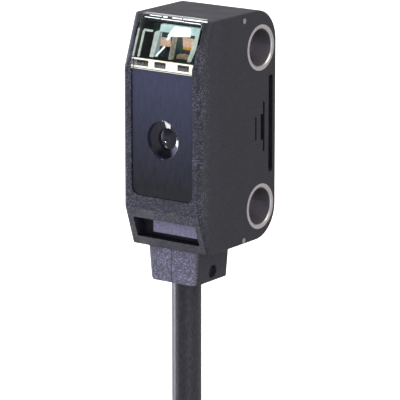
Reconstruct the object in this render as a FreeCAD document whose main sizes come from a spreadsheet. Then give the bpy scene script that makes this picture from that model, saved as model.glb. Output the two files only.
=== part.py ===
import FreeCAD, Part
import math
import os
import Sketcher
from FreeCAD import Placement, Rotation, Vector

# Miniature photoelectric sensor: the receiver of a through-beam pair.
# Frame: millimetres, +Z up, the sensing face looks along -Y, the width runs along X.
# The origin is the middle of the two mounting holes, whose axes run along X.

driving = {
    # case, seen from the side
    "caseWidth": 8.7,
    "frontY": -9.2,
    "rearY": 2.45,
    "topZ": 10.8,
    "bottomZ": -10.4,
    "slantFootZ": 6.7,
    "slantTopY": -7.6,
    "chinTopZ": -6.7,
    "chinFootY": -7.9,
    "rearCorner": 3.0,
    "slantEdge": 0.7,
    "frontEdge": 0.35,
    "smallEdge": 0.15,
    "taperRearY": -6.3,
    "taperDeep": 0.1,
    "wall": 0.8,
    "cavityRearY": -2.9,
    "coreRearY": 1.0,
    "coreHalfX": 2.7,
    "coreHalfZ": 4.2,
    "clearance": 0.1,
    "footCavityGap": 0.7,
    # mounting sleeves
    "sleeveSpacing": 14.7,
    "sleeveOuter": 4.2,
    "sleeveBore": 3.4,
    "sleeveBevel": 0.1,
    # front panel, window and optics
    "openingHalfX": 3.4,
    "openingFootZ": -5.5,
    "openingRearY": -6.7,
    "panelTopZ": 6.1,
    "openingCorner": 0.8,
    "seam": 0.05,
    "panelRecess": 0.15,
    "panelThick": 0.5,
    "apertureZ": -0.15,
    "aperture": 3.4,
    "apertureShoulder": 0.08,
    "lensFlange": 4.4,
    "lensFlangeThick": 0.7,
    "lensDishDeep": 0.25,
    "lensDome": 2.0,
    "lensRise": 0.2,
    "gasketThick": 0.2,
    "tunnel": 3.0,
    "windowThick": 0.5,
    "windowLipY": -6.75,
    "windowLipThick": 0.45,
    "guideHalfX": 2.7,
    "guideFootZ": 7.0,
    "guideTopZ": 9.9,
    "guideGap": 0.08,
    "guideBoardGap": 0.6,
    # slot in the chin
    "chinSlotHalfX": 3.45,
    "chinSlotTopZ": -7.65,
    "chinSlotFootZ": -9.56,
    "chinSlotRearY": -7.1,
    "catchLeftX": -1.4,
    "catchFootZ": -8.8,
    "catchFrontY": -8.55,
    # marks on the side faces
    "railY": 1.61,
    "railWide": 0.64,
    "railTopZ": 4.64,
    "railFootZ": -4.4,
    "barY": 0.34,
    "barWide": 0.6,
    "barHalfZ": 1.2,
    "barStemY": 0.52,
    "barStemWide": 0.25,
    "barStemHalfZ": 2.3,
    "tickY": -0.73,
    "tickWide": 0.2,
    "tickHalfZ": 1.07,
    "grooveDeep": 0.5,
    "pinY": -2.63,
    "pinZ": 10.15,
    "pinLowZ": -10.05,
    "pinWide": 0.5,
    "pinDeep": 0.7,
    "pinProud": 0.05,
    # circuit board
    "boardFrontY": -6.0,
    "boardThick": 0.6,
    "boardHalfX": 3.1,
    "boardTopZ": 9.7,
    "boardFootZ": -8.9,
    "canHalf": 2.3,
    "canDeep": 1.1,
    "canSkin": 0.15,
    "canPort": 1.6,
    # cable boot
    "bootTopHalfX": 2.9,
    "bootFootHalfX": 2.6,
    "bootFrontY": -7.7,
    "bootRearY": -2.9,
    "bootFootZ": -13.6,
    "bootCorner": 0.5,
    "bootHole": 1.2,
    "bootHoleDeep": 0.6,
    "bootHoleY": -5.1,
    "bootHoleZ": -12.65,
    "bootHoleX": 2.8,
    "bootSeamWide": 0.1,
    "bootSeamDeep": 0.06,
    "spigotHalfX": 1.85,
    "spigotHalfY": 0.85,
    "spigotTopZ": -9.6,
    "sealWide": 0.45,
    "sealTall": 0.4,
    # cable, its cores and the coil of its spare length
    "cableY": -5.4,
    "cableWide": 2.7,
    "jacketTopZ": -11.0,
    "crimpOuter": 3.3,
    "crimpTall": 0.9,
    "coreWide": 0.74,
    "corePitch": 0.76,
    "coreBackset": 0.4,
    "innerLeadTopZ": -7.4,
    "coilCentreZ": -57.0,
    "coilRadius": 14.5,
    "bundleRadius": 6.9,
    "outerTurn": 19.3,
    "tailX": 1.4,
    "tailLong": 18.0,
    "tieWide": 3.0,
    "tieThick": 0.7,
    "tipLong": 4.0,
    "tipWide": 0.6,
}

# packages on the board: face, width, height and depth of each, and the middles of those that are fitted
packages = {
    "Receiver": ("front", 1.8, 1.8, 0.5, [(0.0, -0.15)]),
    "OutputLamp": ("front", 1.2, 1.4, 0.5, [(0.9, 8.3)]),
    "StabilityLamp": ("front", 1.2, 1.4, 0.5, [(-1.7, 8.1)]),
    "SignalChip": ("rear", 4.0, 4.0, 0.9, [(0.0, 1.4)]),
    "OutputTransistor": ("rear", 2.4, 1.4, 1.0, [(-1.4, -3.4)]),
    "SurgeDiode": ("rear", 1.6, 2.6, 1.0, [(1.5, -3.4)]),
    "Capacitors": ("rear", 0.8, 1.6, 0.8, [(-1.9, 5.0), (0.0, 5.0), (1.9, 5.0)]),
    "Resistors": ("rear", 0.5, 1.0, 0.35, [(-2.4, 7.4), (-1.2, 7.4), (0.0, 7.4), (1.2, 7.4), (2.4, 7.4),
                                           (-1.4, -5.4), (0.0, -5.4)]),
}
tie_angles = (28.0, 205.0)      # degrees about the coil's axis, from +Y towards +Z

doc = FreeCAD.newDocument("photoelectric_sensor")
sheet = doc.addObject("Spreadsheet::Sheet", "Sizes")
for line, (alias, number) in enumerate(driving.items(), start=1):
    sheet.set(f"A{line}", alias)
    sheet.set(f"B{line}", str(number))
    sheet.setAlias(f"B{line}", alias)
doc.recompute()


class Size(float):
    """A number that also keeps its formula in the sheet's cells."""

    def __new__(cls, number, formula):
        size = super().__new__(cls, number)
        size.formula = formula
        return size

    def __add__(self, other):
        return Size(float(self) + float(other), f"({self.formula} + {formula_of(other)})")

    def __radd__(self, other):
        return Size(float(other) + float(self), f"({formula_of(other)} + {self.formula})")

    def __sub__(self, other):
        return Size(float(self) - float(other), f"({self.formula} - {formula_of(other)})")

    def __rsub__(self, other):
        return Size(float(other) - float(self), f"({formula_of(other)} - {self.formula})")

    def __mul__(self, other):
        return Size(float(self) * float(other), f"({self.formula} * {formula_of(other)})")

    __rmul__ = __mul__

    def __truediv__(self, other):
        return Size(float(self) / float(other), f"({self.formula} / {formula_of(other)})")

    def __neg__(self):
        return Size(-float(self), f"(0 - {self.formula})")


def formula_of(number):
    """The text of a number or of a size's formula."""
    if isinstance(number, Size):
        return number.formula
    return f"({float(number):.6f})"


size = {alias: Size(number, f"Sizes.{alias}") for alias, number in driving.items()}
sub_parts = []


# ---- helpers: binding, primitives and booleans ----

def bind(thing, **values):
    """Set properties and bind each to its formula; x__y in a name stands for x.y."""
    for name, number in values.items():
        thing.setExpression(name.replace("__", "."), formula_of(number))


def place(thing, x=0.0, y=0.0, z=0.0):
    """Bind the base point of a placement."""
    bind(thing, Placement__Base__x=x, Placement__Base__y=y, Placement__Base__z=z)


def keep(thing, label):
    """Name a finished sub-part."""
    thing.Label = label
    sub_parts.append(thing)
    return thing


def block(name, x, y, z):
    """A box between two limits along each axis."""
    box = doc.addObject("Part::Box", name)
    bind(box, Length=x[1] - x[0], Width=y[1] - y[0], Height=z[1] - z[0])
    place(box, x[0], y[0], z[0])
    return box


turn_to = {
    "X": Rotation(Vector(0, 1, 0), 90),
    "Y": Rotation(Vector(1, 0, 0), -90),
    "Z": Rotation(),
}


def rod(name, axis, start, wide, long):
    """A cylinder of diameter wide that runs from start along +axis."""
    cylinder = doc.addObject("Part::Cylinder", name)
    bind(cylinder, Radius=wide / 2, Height=long)
    cylinder.Placement = Placement(Vector(*start), turn_to[axis])
    place(cylinder, *start)
    return cylinder


def joined(name, things):
    """Several shapes fused."""
    fuse = doc.addObject("Part::MultiFuse", name)
    fuse.Shapes = things
    return fuse


def grouped(name, things):
    """Several separate solids in one sub-part."""
    group = doc.addObject("Part::Compound", name)
    group.Links = things
    return group


def less(name, base, tool):
    """One shape cut by another."""
    cut = doc.addObject("Part::Cut", name)
    cut.Base = base
    cut.Tool = tool
    return cut


# ---- helpers: sketches and features of a body ----

def at(u, v):
    """A point on a sketch's plane."""
    return Vector(float(u), float(v), 0)


def new_body(name):
    """An empty body."""
    return doc.addObject("PartDesign::Body", name)


def origin_item(body, role):
    """One of a body's own origin planes or axes."""
    return [item for item in body.Origin.OriginFeatures if item.Role == role][0]


def new_sketch(body, plane, name, offset):
    """A sketch on an origin plane, moved along that plane's normal."""
    sketch = body.newObject("Sketcher::SketchObject", name)
    sketch.AttachmentSupport = [(origin_item(body, plane), "")]
    sketch.MapMode = "FlatFace"
    bind(sketch, AttachmentOffset__Base__z=offset)
    return sketch


def pin_point(sketch, geometry, end, point):
    """Hold one point of a sketch at bound distances from the sketch's origin."""
    for axis, number in zip(("DistanceX", "DistanceY"), point):
        index = sketch.addConstraint(Sketcher.Constraint(axis, -1, 1, geometry, end, float(number)))
        sketch.setExpression(f"Constraints[{index}]", formula_of(number))


def outline(body, plane, name, points, offset=0.0):
    """A closed outline of straight edges, every corner bound to the sheet."""
    sketch = new_sketch(body, plane, name, offset)
    count = len(points)
    for first, last in zip(points, points[1:] + points[:1]):
        sketch.addGeometry(Part.LineSegment(at(*first), at(*last)), False)
    for index in range(count):
        sketch.addConstraint(Sketcher.Constraint("Coincident", index, 2, (index + 1) % count, 1))
    for index, point in enumerate(points):
        pin_point(sketch, index, 1, point)
    return sketch


def rectangle(u, v):
    """The corners of a rectangle between two limits along each axis."""
    return [(u[0], v[0]), (u[1], v[0]), (u[1], v[1]), (u[0], v[1])]


def circles(body, plane, name, centres, wide, offset=0.0):
    """Equal circles in one sketch."""
    sketch = new_sketch(body, plane, name, offset)
    for index, centre in enumerate(centres):
        sketch.addGeometry(Part.Circle(at(*centre), Vector(0, 0, 1), float(wide) / 2), False)
        pin_point(sketch, index, 3, centre)
        diameter = sketch.addConstraint(Sketcher.Constraint("Diameter", index, float(wide)))
        sketch.setExpression(f"Constraints[{diameter}]", formula_of(wide))
    return sketch


def long_hole(body, plane, name, middle_u, wide, v, offset=0.0):
    """A slot with round ends that runs along the sketch's second axis."""
    sketch = new_sketch(body, plane, name, offset)
    half = float(wide) / 2
    middle = float(middle_u)
    low = float(v[0]) + half
    high = float(v[1]) - half
    top = Part.Circle(at(middle, high), Vector(0, 0, 1), half)
    bottom = Part.Circle(at(middle, low), Vector(0, 0, 1), half)
    for piece in (Part.LineSegment(at(middle + half, low), at(middle + half, high)),
                  Part.ArcOfCircle(top, 0, math.pi),
                  Part.LineSegment(at(middle - half, high), at(middle - half, low)),
                  Part.ArcOfCircle(bottom, math.pi, 2 * math.pi)):
        sketch.addGeometry(piece, False)
    for first, last in ((0, 1), (1, 2), (2, 3), (3, 0)):
        sketch.addConstraint(Sketcher.Constraint("Tangent", first, 2, last, 1))
    sketch.addConstraint(Sketcher.Constraint("Vertical", 0))
    pin_point(sketch, 1, 3, (middle_u, v[1] - wide / 2))
    drop = sketch.addConstraint(Sketcher.Constraint("DistanceY", -1, 1, 3, 3, low))
    sketch.setExpression(f"Constraints[{drop}]", formula_of(v[0] + wide / 2))
    radius = sketch.addConstraint(Sketcher.Constraint("Radius", 1, half))
    sketch.setExpression(f"Constraints[{radius}]", formula_of(wide / 2))
    return sketch


def pad(body, sketch, long, way="up"):
    """Pad a sketch: up its plane's normal, down it, or evenly both ways."""
    feature = body.newObject("PartDesign::Pad", "Pad")
    feature.Profile = sketch
    if way == "both":
        feature.SideType = "Symmetric"
    feature.Reversed = way == "down"
    bind(feature, Length=long)
    doc.recompute()
    return feature


def pocket(body, sketch, long, way="down"):
    """Pocket a sketch down its plane's normal, up it, or evenly both ways; it has to cut something."""
    before = body.Shape.Volume
    feature = body.newObject("PartDesign::Pocket", "Pocket")
    feature.Profile = sketch
    if way == "both":
        feature.SideType = "Symmetric"
    feature.Reversed = way == "up"
    bind(feature, Length=long)
    doc.recompute()
    removed = before - body.Shape.Volume
    if removed < 1e-4:
        raise ValueError(f"{body.Name}: {sketch.Name} cuts nothing")
    return feature


def edges_where(body, test):
    """The names of a body's edges whose middle point and direction pass a test."""
    names = []
    for index, edge in enumerate(body.Shape.Edges, start=1):
        middle = edge.valueAt((edge.FirstParameter + edge.LastParameter) / 2)
        ends = [vertex.Point for vertex in edge.Vertexes]
        span = ends[-1] - ends[0]
        if test(middle, span):
            names.append(f"Edge{index}")
    return names


def soften(body, kind, amount, test):
    """Fillet or chamfer the edges that pass a test."""
    names = edges_where(body, test)
    if not names:
        raise ValueError(f"{body.Name}: no edge to {kind}")
    base = body.Tip
    feature = body.newObject(f"PartDesign::{kind}", kind)
    feature.Base = (base, names)
    bind(feature, **{"Radius" if kind == "Fillet" else "Size": amount})
    doc.recompute()
    return feature


def turn_round(body, sketch, axis):
    """Revolve a sketch all the way round one of the body's own axes."""
    turned = body.newObject("PartDesign::Revolution", "Turned")
    turned.Profile = sketch
    turned.ReferenceAxis = (origin_item(body, axis), [""])
    turned.Angle = 360
    doc.recompute()
    return turned


def near(first, second, within=0.02):
    """Whether two numbers agree."""
    return abs(float(first) - float(second)) < within


def along(span, axis):
    """Whether an edge's span runs along one axis."""
    parts = {"X": span.x, "Y": span.y, "Z": span.z}
    return span.Length > 0 and abs(parts[axis]) > 0.99 * span.Length


# ---- case ----

half_width = size["caseWidth"] / 2
panel_front_y = size["frontY"] + size["panelRecess"]
panel_rear_y = panel_front_y + size["panelThick"]
hole_z = size["sleeveSpacing"] / 2
inner_front_y = size["frontY"] + size["wall"]
inner_half_x = half_width - size["wall"]
inner_top_z = size["topZ"] - size["wall"]
inner_foot_z = size["bottomZ"] + size["wall"] + size["clearance"]
spigot_y = (size["cableY"] - size["spigotHalfY"], size["cableY"] + size["spigotHalfY"])


past_case = 1.0      # how far a cut runs past the case, so that it comes out clean
slight = 0.05      # play allowed when an edge is found by where it lies


def both_sides(sketch_maker, deep):
    """Cut the same mark into both side faces."""
    for way, side in (("down", half_width), ("up", -half_width)):
        pocket(case, sketch_maker(side), deep, way)


case = new_body("Case")
side_view = [
    (size["frontY"], size["slantFootZ"]),
    (size["frontY"], size["chinTopZ"]),
    (size["chinFootY"], size["bottomZ"]),
    (size["rearY"], size["bottomZ"]),
    (size["rearY"], size["topZ"]),
    (size["slantTopY"], size["topZ"]),
]
pad(case, outline(case, "YZ_Plane", "CaseSide", side_view), size["caseWidth"], "both")
soften(case, "Fillet", size["rearCorner"],
       lambda middle, span: along(span, "X") and near(middle.y, size["rearY"]))
tapered_x = half_width - size["taperDeep"]
for way in (1, -1):
    taper = [
        (half_width * way, size["taperRearY"]),
        ((half_width + past_case) * way, size["taperRearY"]),
        ((half_width + past_case) * way, size["frontY"]),
        (tapered_x * way, size["frontY"]),
    ]
    pocket(case, outline(case, "XY_Plane", "SideTaper", taper), 2 * (size["topZ"] + past_case), "both")


def on_side(middle):
    """Whether the middle of an edge lies on a side face or on its taper."""
    return abs(middle.x) > tapered_x - slight


def ahead_of_top(middle):
    """Whether the middle of an edge lies in front of the top face."""
    return middle.y < size["slantTopY"] - slight


soften(case, "Fillet", size["slantEdge"],
       lambda middle, span: on_side(middle) and ahead_of_top(middle)
       and middle.z > size["slantFootZ"] + slight)
soften(case, "Fillet", size["frontEdge"],
       lambda middle, span: on_side(middle) and ahead_of_top(middle)
       and middle.z < size["slantFootZ"] - slight
       and not along(span, "Y") and not along(span, "X"))
soften(case, "Fillet", size["smallEdge"],
       lambda middle, span: on_side(middle) and middle.y > size["slantTopY"] + slight
       and not (along(span, "Z") and near(middle.y, size["taperRearY"])))

front_opening = rectangle((-size["openingHalfX"], size["openingHalfX"]),
                          (size["openingFootZ"], size["topZ"] + past_case))
pocket(case, outline(case, "XZ_Plane", "FrontOpening", front_opening, -size["frontY"]),
       size["openingRearY"] - size["frontY"])
soften(case, "Fillet", size["openingCorner"],
       lambda middle, span: along(span, "Y") and near(middle.z, size["openingFootZ"])
       and near(abs(middle.x), size["openingHalfX"]))
main_cavity = rectangle((-inner_half_x, inner_half_x), (size["chinTopZ"] - size["clearance"], inner_top_z))
pocket(case, outline(case, "XZ_Plane", "MainCavity", main_cavity, -inner_front_y),
       size["cavityRearY"] - inner_front_y)
foot_front_y = size["chinSlotRearY"] + size["footCavityGap"]
foot_cavity = rectangle((-inner_half_x, inner_half_x), (inner_foot_z, size["chinTopZ"]))
pocket(case, outline(case, "XZ_Plane", "FootCavity", foot_cavity, -foot_front_y),
       size["cavityRearY"] - foot_front_y)
middle_core = rectangle((-size["coreHalfX"], size["coreHalfX"]), (-size["coreHalfZ"], size["coreHalfZ"]))
pocket(case, outline(case, "XZ_Plane", "MiddleCore", middle_core, -size["cavityRearY"]),
       size["coreRearY"] - size["cavityRearY"])
pocket(case, circles(case, "YZ_Plane", "SleeveHoles", [(0.0, hole_z), (0.0, -hole_z)], size["sleeveOuter"]),
       size["caseWidth"] + past_case, "both")
chin_slot = rectangle((-size["chinSlotHalfX"], size["chinSlotHalfX"]),
                      (size["chinSlotFootZ"], size["chinSlotTopZ"]))
pocket(case, outline(case, "XZ_Plane", "ChinSlot", chin_slot, -size["frontY"]),
       size["chinSlotRearY"] - size["frontY"])
seal_x = size["spigotHalfX"] + size["sealWide"]
seal_y = (spigot_y[0] - size["sealWide"], spigot_y[1] + size["sealWide"])
pocket(case, outline(case, "XY_Plane", "SealSeat", rectangle((-seal_x, seal_x), seal_y), size["bottomZ"]),
       size["sealTall"], "up")
spigot = rectangle((-size["spigotHalfX"], size["spigotHalfX"]), spigot_y)
pocket(case, outline(case, "XY_Plane", "BootHole", spigot, size["bottomZ"]),
       inner_foot_z - size["bottomZ"], "up")
both_sides(lambda side: long_hole(case, "YZ_Plane", "Rail", size["railY"], size["railWide"],
                                  (size["railFootZ"], size["railTopZ"]), side), size["grooveDeep"])
bar = rectangle((size["barY"] - size["barWide"] / 2, size["barY"] + size["barWide"] / 2),
                (-size["barHalfZ"], size["barHalfZ"]))
both_sides(lambda side: outline(case, "YZ_Plane", "Bar", bar, side), size["grooveDeep"])
bar_stem = rectangle((size["barStemY"] - size["barStemWide"] / 2, size["barStemY"] + size["barStemWide"] / 2),
                     (-size["barStemHalfZ"], size["barStemHalfZ"]))
both_sides(lambda side: outline(case, "YZ_Plane", "BarStem", bar_stem, side), size["grooveDeep"])
tick = rectangle((size["tickY"] - size["tickWide"] / 2, size["tickY"] + size["tickWide"] / 2),
                 (-size["tickHalfZ"], size["tickHalfZ"]))
both_sides(lambda side: outline(case, "YZ_Plane", "Tick", tick, side), size["grooveDeep"] / 2)
pin_places = [(size["pinY"], size["pinZ"]), (size["pinY"], size["pinLowZ"])]
both_sides(lambda side: circles(case, "YZ_Plane", "PinHoles", pin_places, size["pinWide"], side),
           size["pinDeep"])
keep(case, "case")

# ---- pins with round heads, near the top and bottom edges of both side faces ----

pins = []
pin_long = size["pinDeep"] + size["pinProud"]
for start_x in (half_width - size["pinDeep"], -half_width - size["pinProud"]):
    for index, (pin_y, pin_z) in enumerate(pin_places):
        pins.append(rod(f"Pin{len(pins)}", "X", (start_x, pin_y, pin_z), size["pinWide"], pin_long))
keep(grouped("CasePins", pins), "case_pins")

# ---- mounting sleeves ----

for label, middle_z in (("upper_sleeve", hole_z), ("lower_sleeve", -hole_z)):
    sleeve = new_body(label.title().replace("_", ""))
    bore_radius = size["sleeveBore"] / 2
    outer_radius = size["sleeveOuter"] / 2
    bevel = size["sleeveBevel"]
    section = [
        (-half_width, bore_radius + bevel),
        (-half_width, outer_radius),
        (half_width, outer_radius),
        (half_width, bore_radius + bevel),
        (half_width - bevel, bore_radius),
        (-half_width + bevel, bore_radius),
    ]
    wall_sketch = outline(sleeve, "XY_Plane", "SleeveWall", section)
    turn_round(sleeve, wall_sketch, "X_Axis")
    place(sleeve, z=middle_z)
    keep(sleeve, label)

# ---- front panel ----

panel = new_body("FrontPanel")
panel_half_x = size["openingHalfX"] - size["seam"]
panel_z = (size["openingFootZ"] + size["seam"], size["panelTopZ"] - size["seam"])
pad(panel, outline(panel, "XZ_Plane", "PanelFace", rectangle((-panel_half_x, panel_half_x), panel_z),
                   -panel_front_y), size["panelThick"], "down")
soften(panel, "Fillet", size["openingCorner"] - size["seam"],
       lambda middle, span: along(span, "Y") and near(middle.z, panel_z[0]))
pocket(panel, circles(panel, "XZ_Plane", "Aperture", [(0.0, size["apertureZ"])], size["aperture"],
                      -panel_front_y), size["panelThick"])
soften(panel, "Fillet", size["apertureShoulder"],
       lambda middle, span: near(middle.y, panel_front_y) and span.Length < slight)
keep(panel, "front_panel")

# ---- objective lens, gasket and optic holder ----

flange_rear_y = panel_rear_y + size["lensFlangeThick"]
gasket_rear_y = flange_rear_y + size["gasketThick"]
dome_half = size["lensDome"] / 2
dish_y = panel_rear_y + size["lensDishDeep"]
dome_top_y = dish_y - size["lensRise"]
dome_radius = (dome_half * dome_half + size["lensRise"] * size["lensRise"]) / (2 * size["lensRise"])


def lens_section(body):
    """Half the lens's section: a flat-backed flange, and a shallow dome at the bottom of a cone."""
    corners = [
        (0.0, flange_rear_y),
        (size["lensFlange"] / 2, flange_rear_y),
        (size["lensFlange"] / 2, panel_rear_y),
        (size["aperture"] / 2, panel_rear_y),
        (dome_half, dish_y),
    ]
    count = len(corners)
    sketch = new_sketch(body, "XY_Plane", "LensSection", 0.0)
    for first, last in zip(corners, corners[1:]):
        sketch.addGeometry(Part.LineSegment(at(*first), at(*last)), False)
    middle = at(0, dome_top_y + dome_radius)
    rim_angle = math.atan2(float(dish_y) - middle.y, float(dome_half))
    round_face = Part.Circle(middle, Vector(0, 0, 1), float(dome_radius))
    arc = sketch.addGeometry(Part.ArcOfCircle(round_face, -math.pi / 2, rim_angle), False)
    axis = sketch.addGeometry(Part.LineSegment(at(0, dome_top_y), at(0, flange_rear_y)), False)
    for index in range(count - 2):
        sketch.addConstraint(Sketcher.Constraint("Coincident", index, 2, index + 1, 1))
    for first, first_end, last, last_end in ((count - 2, 2, arc, 2), (arc, 1, axis, 1), (axis, 2, 0, 1)):
        sketch.addConstraint(Sketcher.Constraint("Coincident", first, first_end, last, last_end))
    for index, corner in enumerate(corners[:-1]):
        pin_point(sketch, index, 1, corner)
    pin_point(sketch, count - 2, 2, corners[-1])
    pin_point(sketch, axis, 1, (0.0, dome_top_y))
    radius = sketch.addConstraint(Sketcher.Constraint("Radius", arc, float(dome_radius)))
    sketch.setExpression(f"Constraints[{radius}]", formula_of(dome_radius))
    return sketch


lens = new_body("ObjectiveLens")
turn_round(lens, lens_section(lens), "Y_Axis")
place(lens, z=size["apertureZ"])
keep(lens, "objective_lens")

gasket_start = (0.0, flange_rear_y, size["apertureZ"])
gasket_outer = rod("GasketOuter", "Y", gasket_start, size["lensFlange"], size["gasketThick"])
gasket_inner = rod("GasketInner", "Y", gasket_start, size["tunnel"] + 2 * size["clearance"],
                   size["gasketThick"])
keep(less("Gasket", gasket_outer, gasket_inner), "lens_gasket")

holder = new_body("OpticHolder")
holder_half_x = size["openingHalfX"] - size["clearance"]
holder_z = (size["openingFootZ"] + 3 * size["clearance"], size["panelTopZ"] - 2 * size["clearance"])
holder_deep = size["boardFrontY"] - panel_rear_y
can_room_half = size["canHalf"] + size["clearance"]
pad(holder, outline(holder, "XZ_Plane", "HolderFace", rectangle((-holder_half_x, holder_half_x), holder_z),
                    -panel_rear_y), holder_deep, "down")
soften(holder, "Fillet", size["openingCorner"],
       lambda middle, span: along(span, "Y") and near(middle.z, holder_z[0]))
pocket(holder, circles(holder, "XZ_Plane", "LensSeat", [(0.0, size["apertureZ"])], size["lensFlange"],
                       -panel_rear_y), gasket_rear_y - panel_rear_y)
pocket(holder, circles(holder, "XZ_Plane", "Tunnel", [(0.0, size["apertureZ"])], size["tunnel"],
                       -panel_rear_y), holder_deep)
can_room = rectangle((-can_room_half, can_room_half),
                     (size["apertureZ"] - can_room_half, size["apertureZ"] + can_room_half))
pocket(holder, outline(holder, "XZ_Plane", "CanRoom", can_room, -size["boardFrontY"]),
       size["canDeep"] + size["clearance"], "up")
keep(holder, "optic_holder")

# ---- indicator window and light guide ----

slant_step = (size["slantTopY"] - size["frontY"]) / (size["topZ"] - size["slantFootZ"])
slant_shift = size["windowThick"] * math.hypot(1.0, slant_step)      # its thickness measured along Y
window_foot_z = size["panelTopZ"]
window_inner_y = size["frontY"] + size["windowThick"]
window_inner_z = size["topZ"] - size["windowLipThick"]


def inner_slant_y(z):
    """Where the window's inner face stands at a height."""
    return size["frontY"] + slant_shift + (z - size["slantFootZ"]) * slant_step


window = new_body("IndicatorWindow")
window_side = [
    (size["frontY"], window_foot_z),
    (window_inner_y, window_foot_z),
    (window_inner_y, size["slantFootZ"] - size["clearance"]),
    (inner_slant_y(window_inner_z), window_inner_z),
    (size["windowLipY"], window_inner_z),
    (size["windowLipY"], size["topZ"]),
    (size["slantTopY"], size["topZ"]),
    (size["frontY"], size["slantFootZ"]),
]
pad(window, outline(window, "YZ_Plane", "WindowSide", window_side), panel_half_x * 2, "both")
keep(window, "indicator_window")

guide = new_body("LightGuide")
guide_rear_y = size["boardFrontY"] - size["guideBoardGap"]
guide_side = [
    (inner_slant_y(size["guideFootZ"]) + size["guideGap"], size["guideFootZ"]),
    (guide_rear_y, size["guideFootZ"]),
    (guide_rear_y, size["guideTopZ"]),
    (inner_slant_y(size["guideTopZ"]) + size["guideGap"], size["guideTopZ"]),
]
pad(guide, outline(guide, "YZ_Plane", "GuideSide", guide_side), size["guideHalfX"] * 2, "both")
keep(guide, "light_guide")

# ---- catch in the chin slot ----

catch_z = (size["catchFootZ"], size["chinSlotTopZ"])
keep(block("Catch", (size["catchLeftX"], size["chinSlotHalfX"]), (size["catchFrontY"], size["chinSlotRearY"]),
           catch_z), "mask_catch")

# ---- circuit board and what is soldered to it ----

board_rear_y = size["boardFrontY"] + size["boardThick"]
board_x = (-size["boardHalfX"], size["boardHalfX"])
keep(block("Board", board_x, (size["boardFrontY"], board_rear_y), (size["boardFootZ"], size["boardTopZ"])),
     "main_board")


def on_board(name, middle, wide, tall, deep, face):
    """A small package standing on one face of the board."""
    if face == "rear":
        y = (board_rear_y, board_rear_y + deep)
    else:
        y = (size["boardFrontY"] - deep, size["boardFrontY"])
    x = (middle[0] - wide / 2, middle[0] + wide / 2)
    z = (middle[1] - tall / 2, middle[1] + tall / 2)
    return block(name, x, y, z)


def fitted(name):
    """Every package of one kind, standing on the board."""
    face, wide, tall, deep, middles = packages[name]
    things = []
    for index, middle in enumerate(middles):
        things.append(on_board(f"{name}{index}", middle, wide, tall, deep, face))
    return things[0] if len(things) == 1 else grouped(name, things)


can_middle = (0.0, size["apertureZ"])
can_wide = 2 * size["canHalf"]
can_deep = size["canDeep"]
can_inner = can_wide - 2 * size["canSkin"]
can_shell = on_board("CanShell", can_middle, can_wide, can_wide, can_deep, "front")
can_inside = on_board("CanInside", can_middle, can_inner, can_inner, can_deep - size["canSkin"], "front")
can_port = rod("CanPort", "Y", (0.0, size["boardFrontY"] - can_deep, size["apertureZ"]),
               size["canPort"], 2 * size["canSkin"])
keep(fitted("Receiver"), "receiver_chip")
keep(less("ShieldCan", can_shell, joined("CanCuts", [can_inside, can_port])), "shield_can")
keep(fitted("OutputLamp"), "output_lamp")
keep(fitted("StabilityLamp"), "stability_lamp")
keep(fitted("SignalChip"), "signal_chip")
keep(fitted("OutputTransistor"), "output_transistor")
keep(fitted("SurgeDiode"), "surge_diode")
keep(fitted("Capacitors"), "capacitors")
keep(fitted("Resistors"), "resistors")

core_y = size["cableY"] + size["coreBackset"]
core_places = {"brown": -size["corePitch"], "black": Size(0.0, "0"), "blue": size["corePitch"]}
for colour, lead_x in core_places.items():
    lead = rod(f"InnerLead{colour.title()}", "Z", (lead_x, core_y, size["jacketTopZ"]), size["coreWide"],
               size["innerLeadTopZ"] - size["jacketTopZ"])
    keep(lead, f"inner_lead_{colour}")

# ---- cable boot, seal and crimp ring ----

boot = new_body("CableBoot")
boot_front_view = [
    (-size["bootFootHalfX"], size["bootFootZ"]),
    (size["bootFootHalfX"], size["bootFootZ"]),
    (size["bootTopHalfX"], size["bottomZ"]),
    (-size["bootTopHalfX"], size["bottomZ"]),
]
pad(boot, outline(boot, "XZ_Plane", "BootFront", boot_front_view, -size["bootFrontY"]),
    size["bootRearY"] - size["bootFrontY"], "down")
soften(boot, "Chamfer", size["bootCorner"],
       lambda middle, span: near(middle.y, size["bootFrontY"]) and abs(span.z) > 1)
soften(boot, "Fillet", size["smallEdge"],
       lambda middle, span: near(middle.z, size["bootFootZ"]))
pad(boot, outline(boot, "XY_Plane", "Spigot", spigot, size["bottomZ"]), size["spigotTopZ"] - size["bottomZ"])
pocket(boot, circles(boot, "XY_Plane", "CableBore", [(0.0, size["cableY"])], size["cableWide"],
                     size["bootFootZ"]), size["jacketTopZ"] - size["bootFootZ"], "up")
pocket(boot, circles(boot, "XY_Plane", "CrimpRoom", [(0.0, size["cableY"])], size["crimpOuter"],
                     size["jacketTopZ"] - size["crimpTall"]), size["crimpTall"], "up")
pocket(boot, circles(boot, "XY_Plane", "LeadHoles", [(x, core_y) for x in core_places.values()],
                     size["coreWide"], size["jacketTopZ"]), size["spigotTopZ"] - size["jacketTopZ"], "up")
boot_hole = [(size["bootHoleY"], size["bootHoleZ"])]
for way, side in (("down", size["bootHoleX"]), ("up", -size["bootHoleX"])):
    pocket(boot, circles(boot, "YZ_Plane", "SideHole", boot_hole, size["bootHole"], side),
           size["bootHoleDeep"], way)
boot_seam = rectangle((-size["bootSeamWide"] / 2, size["bootSeamWide"] / 2), (size["bootFootZ"], size["bottomZ"]))
pocket(boot, outline(boot, "XZ_Plane", "BootSeam", boot_seam, -size["bootFrontY"]), size["bootSeamDeep"])
keep(boot, "cable_boot")

seal_z = (size["bottomZ"], size["bottomZ"] + size["sealTall"])
seal_outer = block("SealOuter", (-seal_x, seal_x), seal_y, seal_z)
seal_inner = block("SealInner", (-size["spigotHalfX"], size["spigotHalfX"]), spigot_y, seal_z)
keep(less("BootSeal", seal_outer, seal_inner), "boot_seal")

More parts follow.
